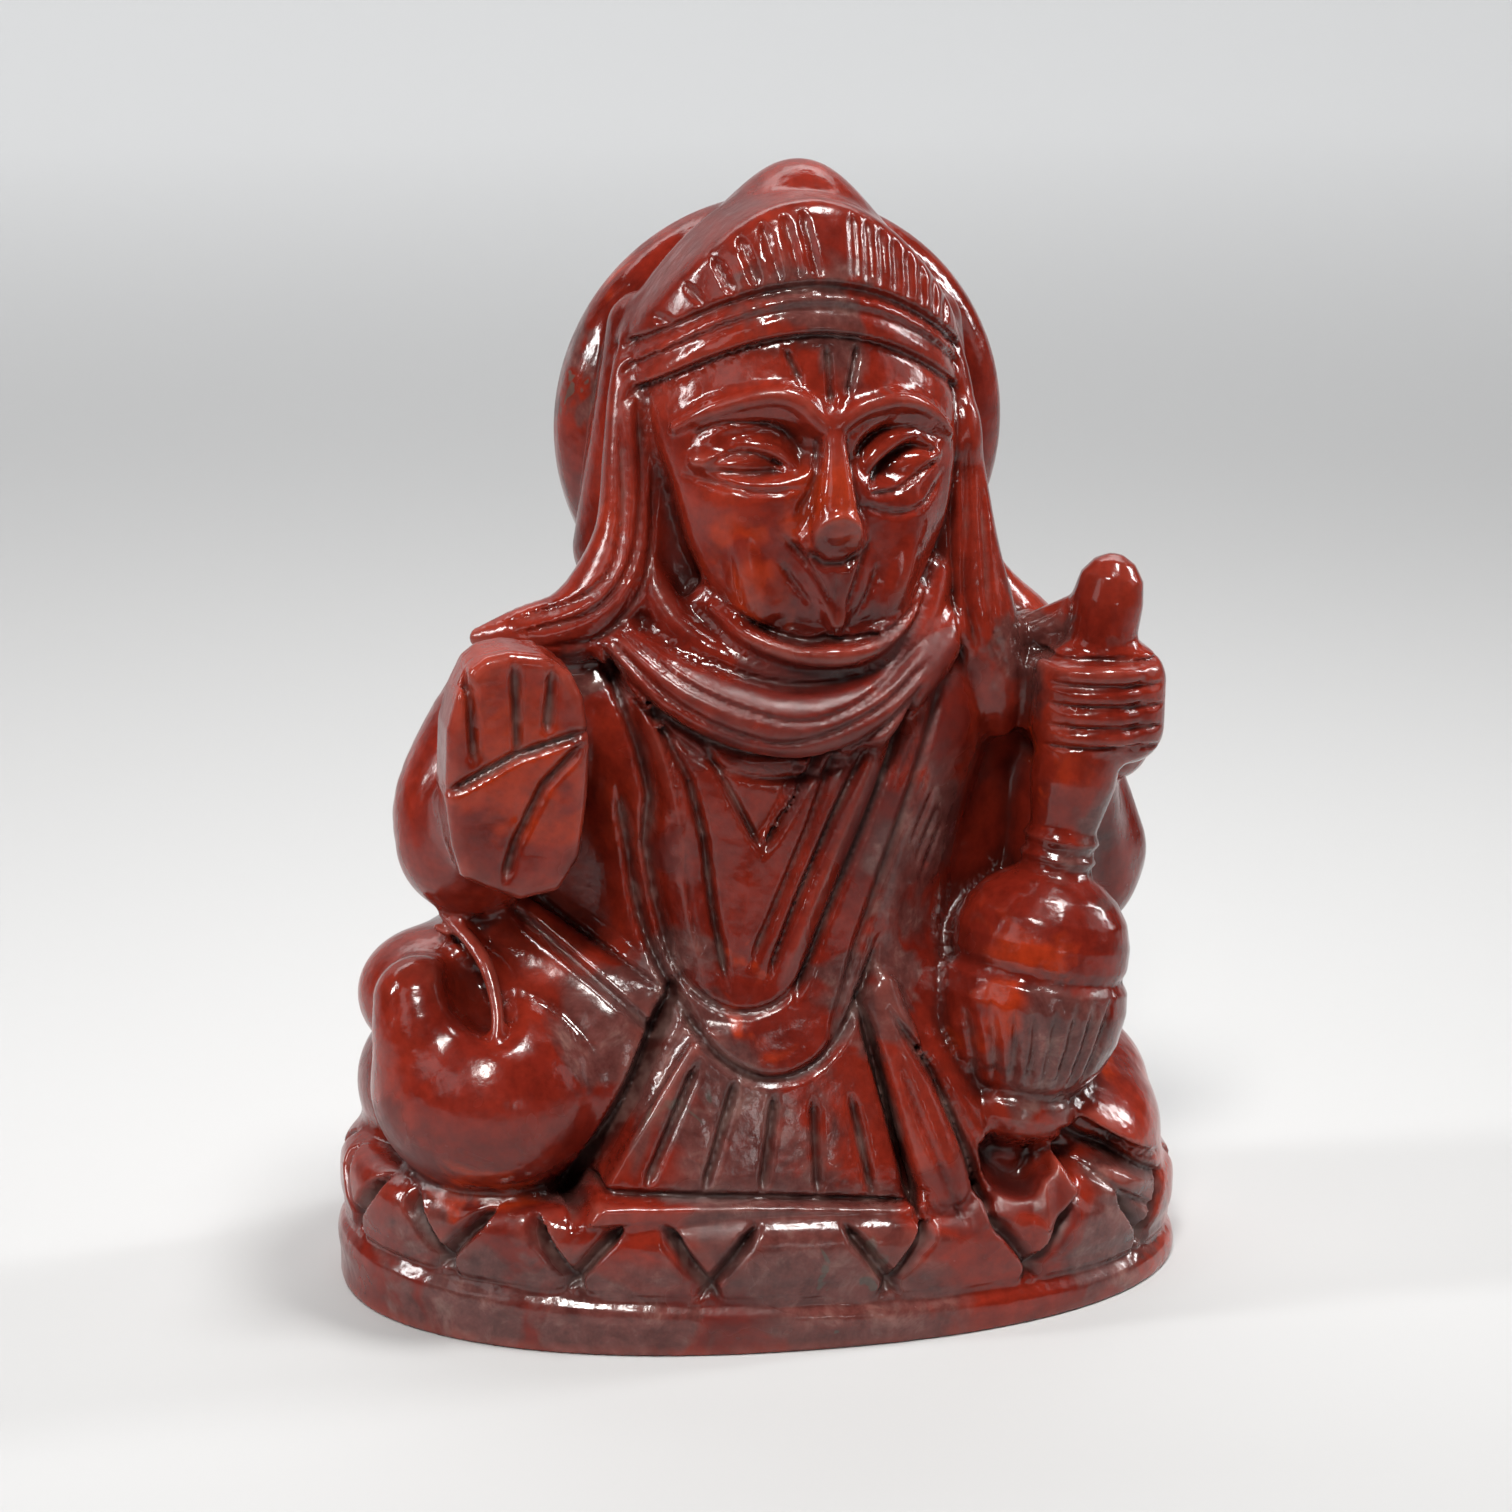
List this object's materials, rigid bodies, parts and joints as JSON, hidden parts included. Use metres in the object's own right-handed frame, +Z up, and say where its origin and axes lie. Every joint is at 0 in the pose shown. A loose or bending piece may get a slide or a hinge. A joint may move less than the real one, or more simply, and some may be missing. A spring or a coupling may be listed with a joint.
{
  "type": "hanuman figure",
  "caption": "Seated monkey-faced guardian carved in solid polished red stone, palm raised, mace at its side, round disc behind the head, on an oval petal-cut plinth",
  "frame": {"origin": "the middle of the overall box at the flat underside, where the plinth rests", "axes": "+Z runs up from the underside to the top of the head. -Y is the front, where the face, palm and skirt panel look. +X is the viewer's right, the side of the mace"},
  "size_m": [0.0805, 0.0486, 0.1042],
  "materials": {
    "jasper": "opaque brick-red jasper, cut with small wheels and polished to a soft gloss, with maroon and grey-brown mottling and a few orange-red spots"
  },
  "bodies": {
    "root": {"hanuman_carving": "jasper"}
  },
  "joints": []
}
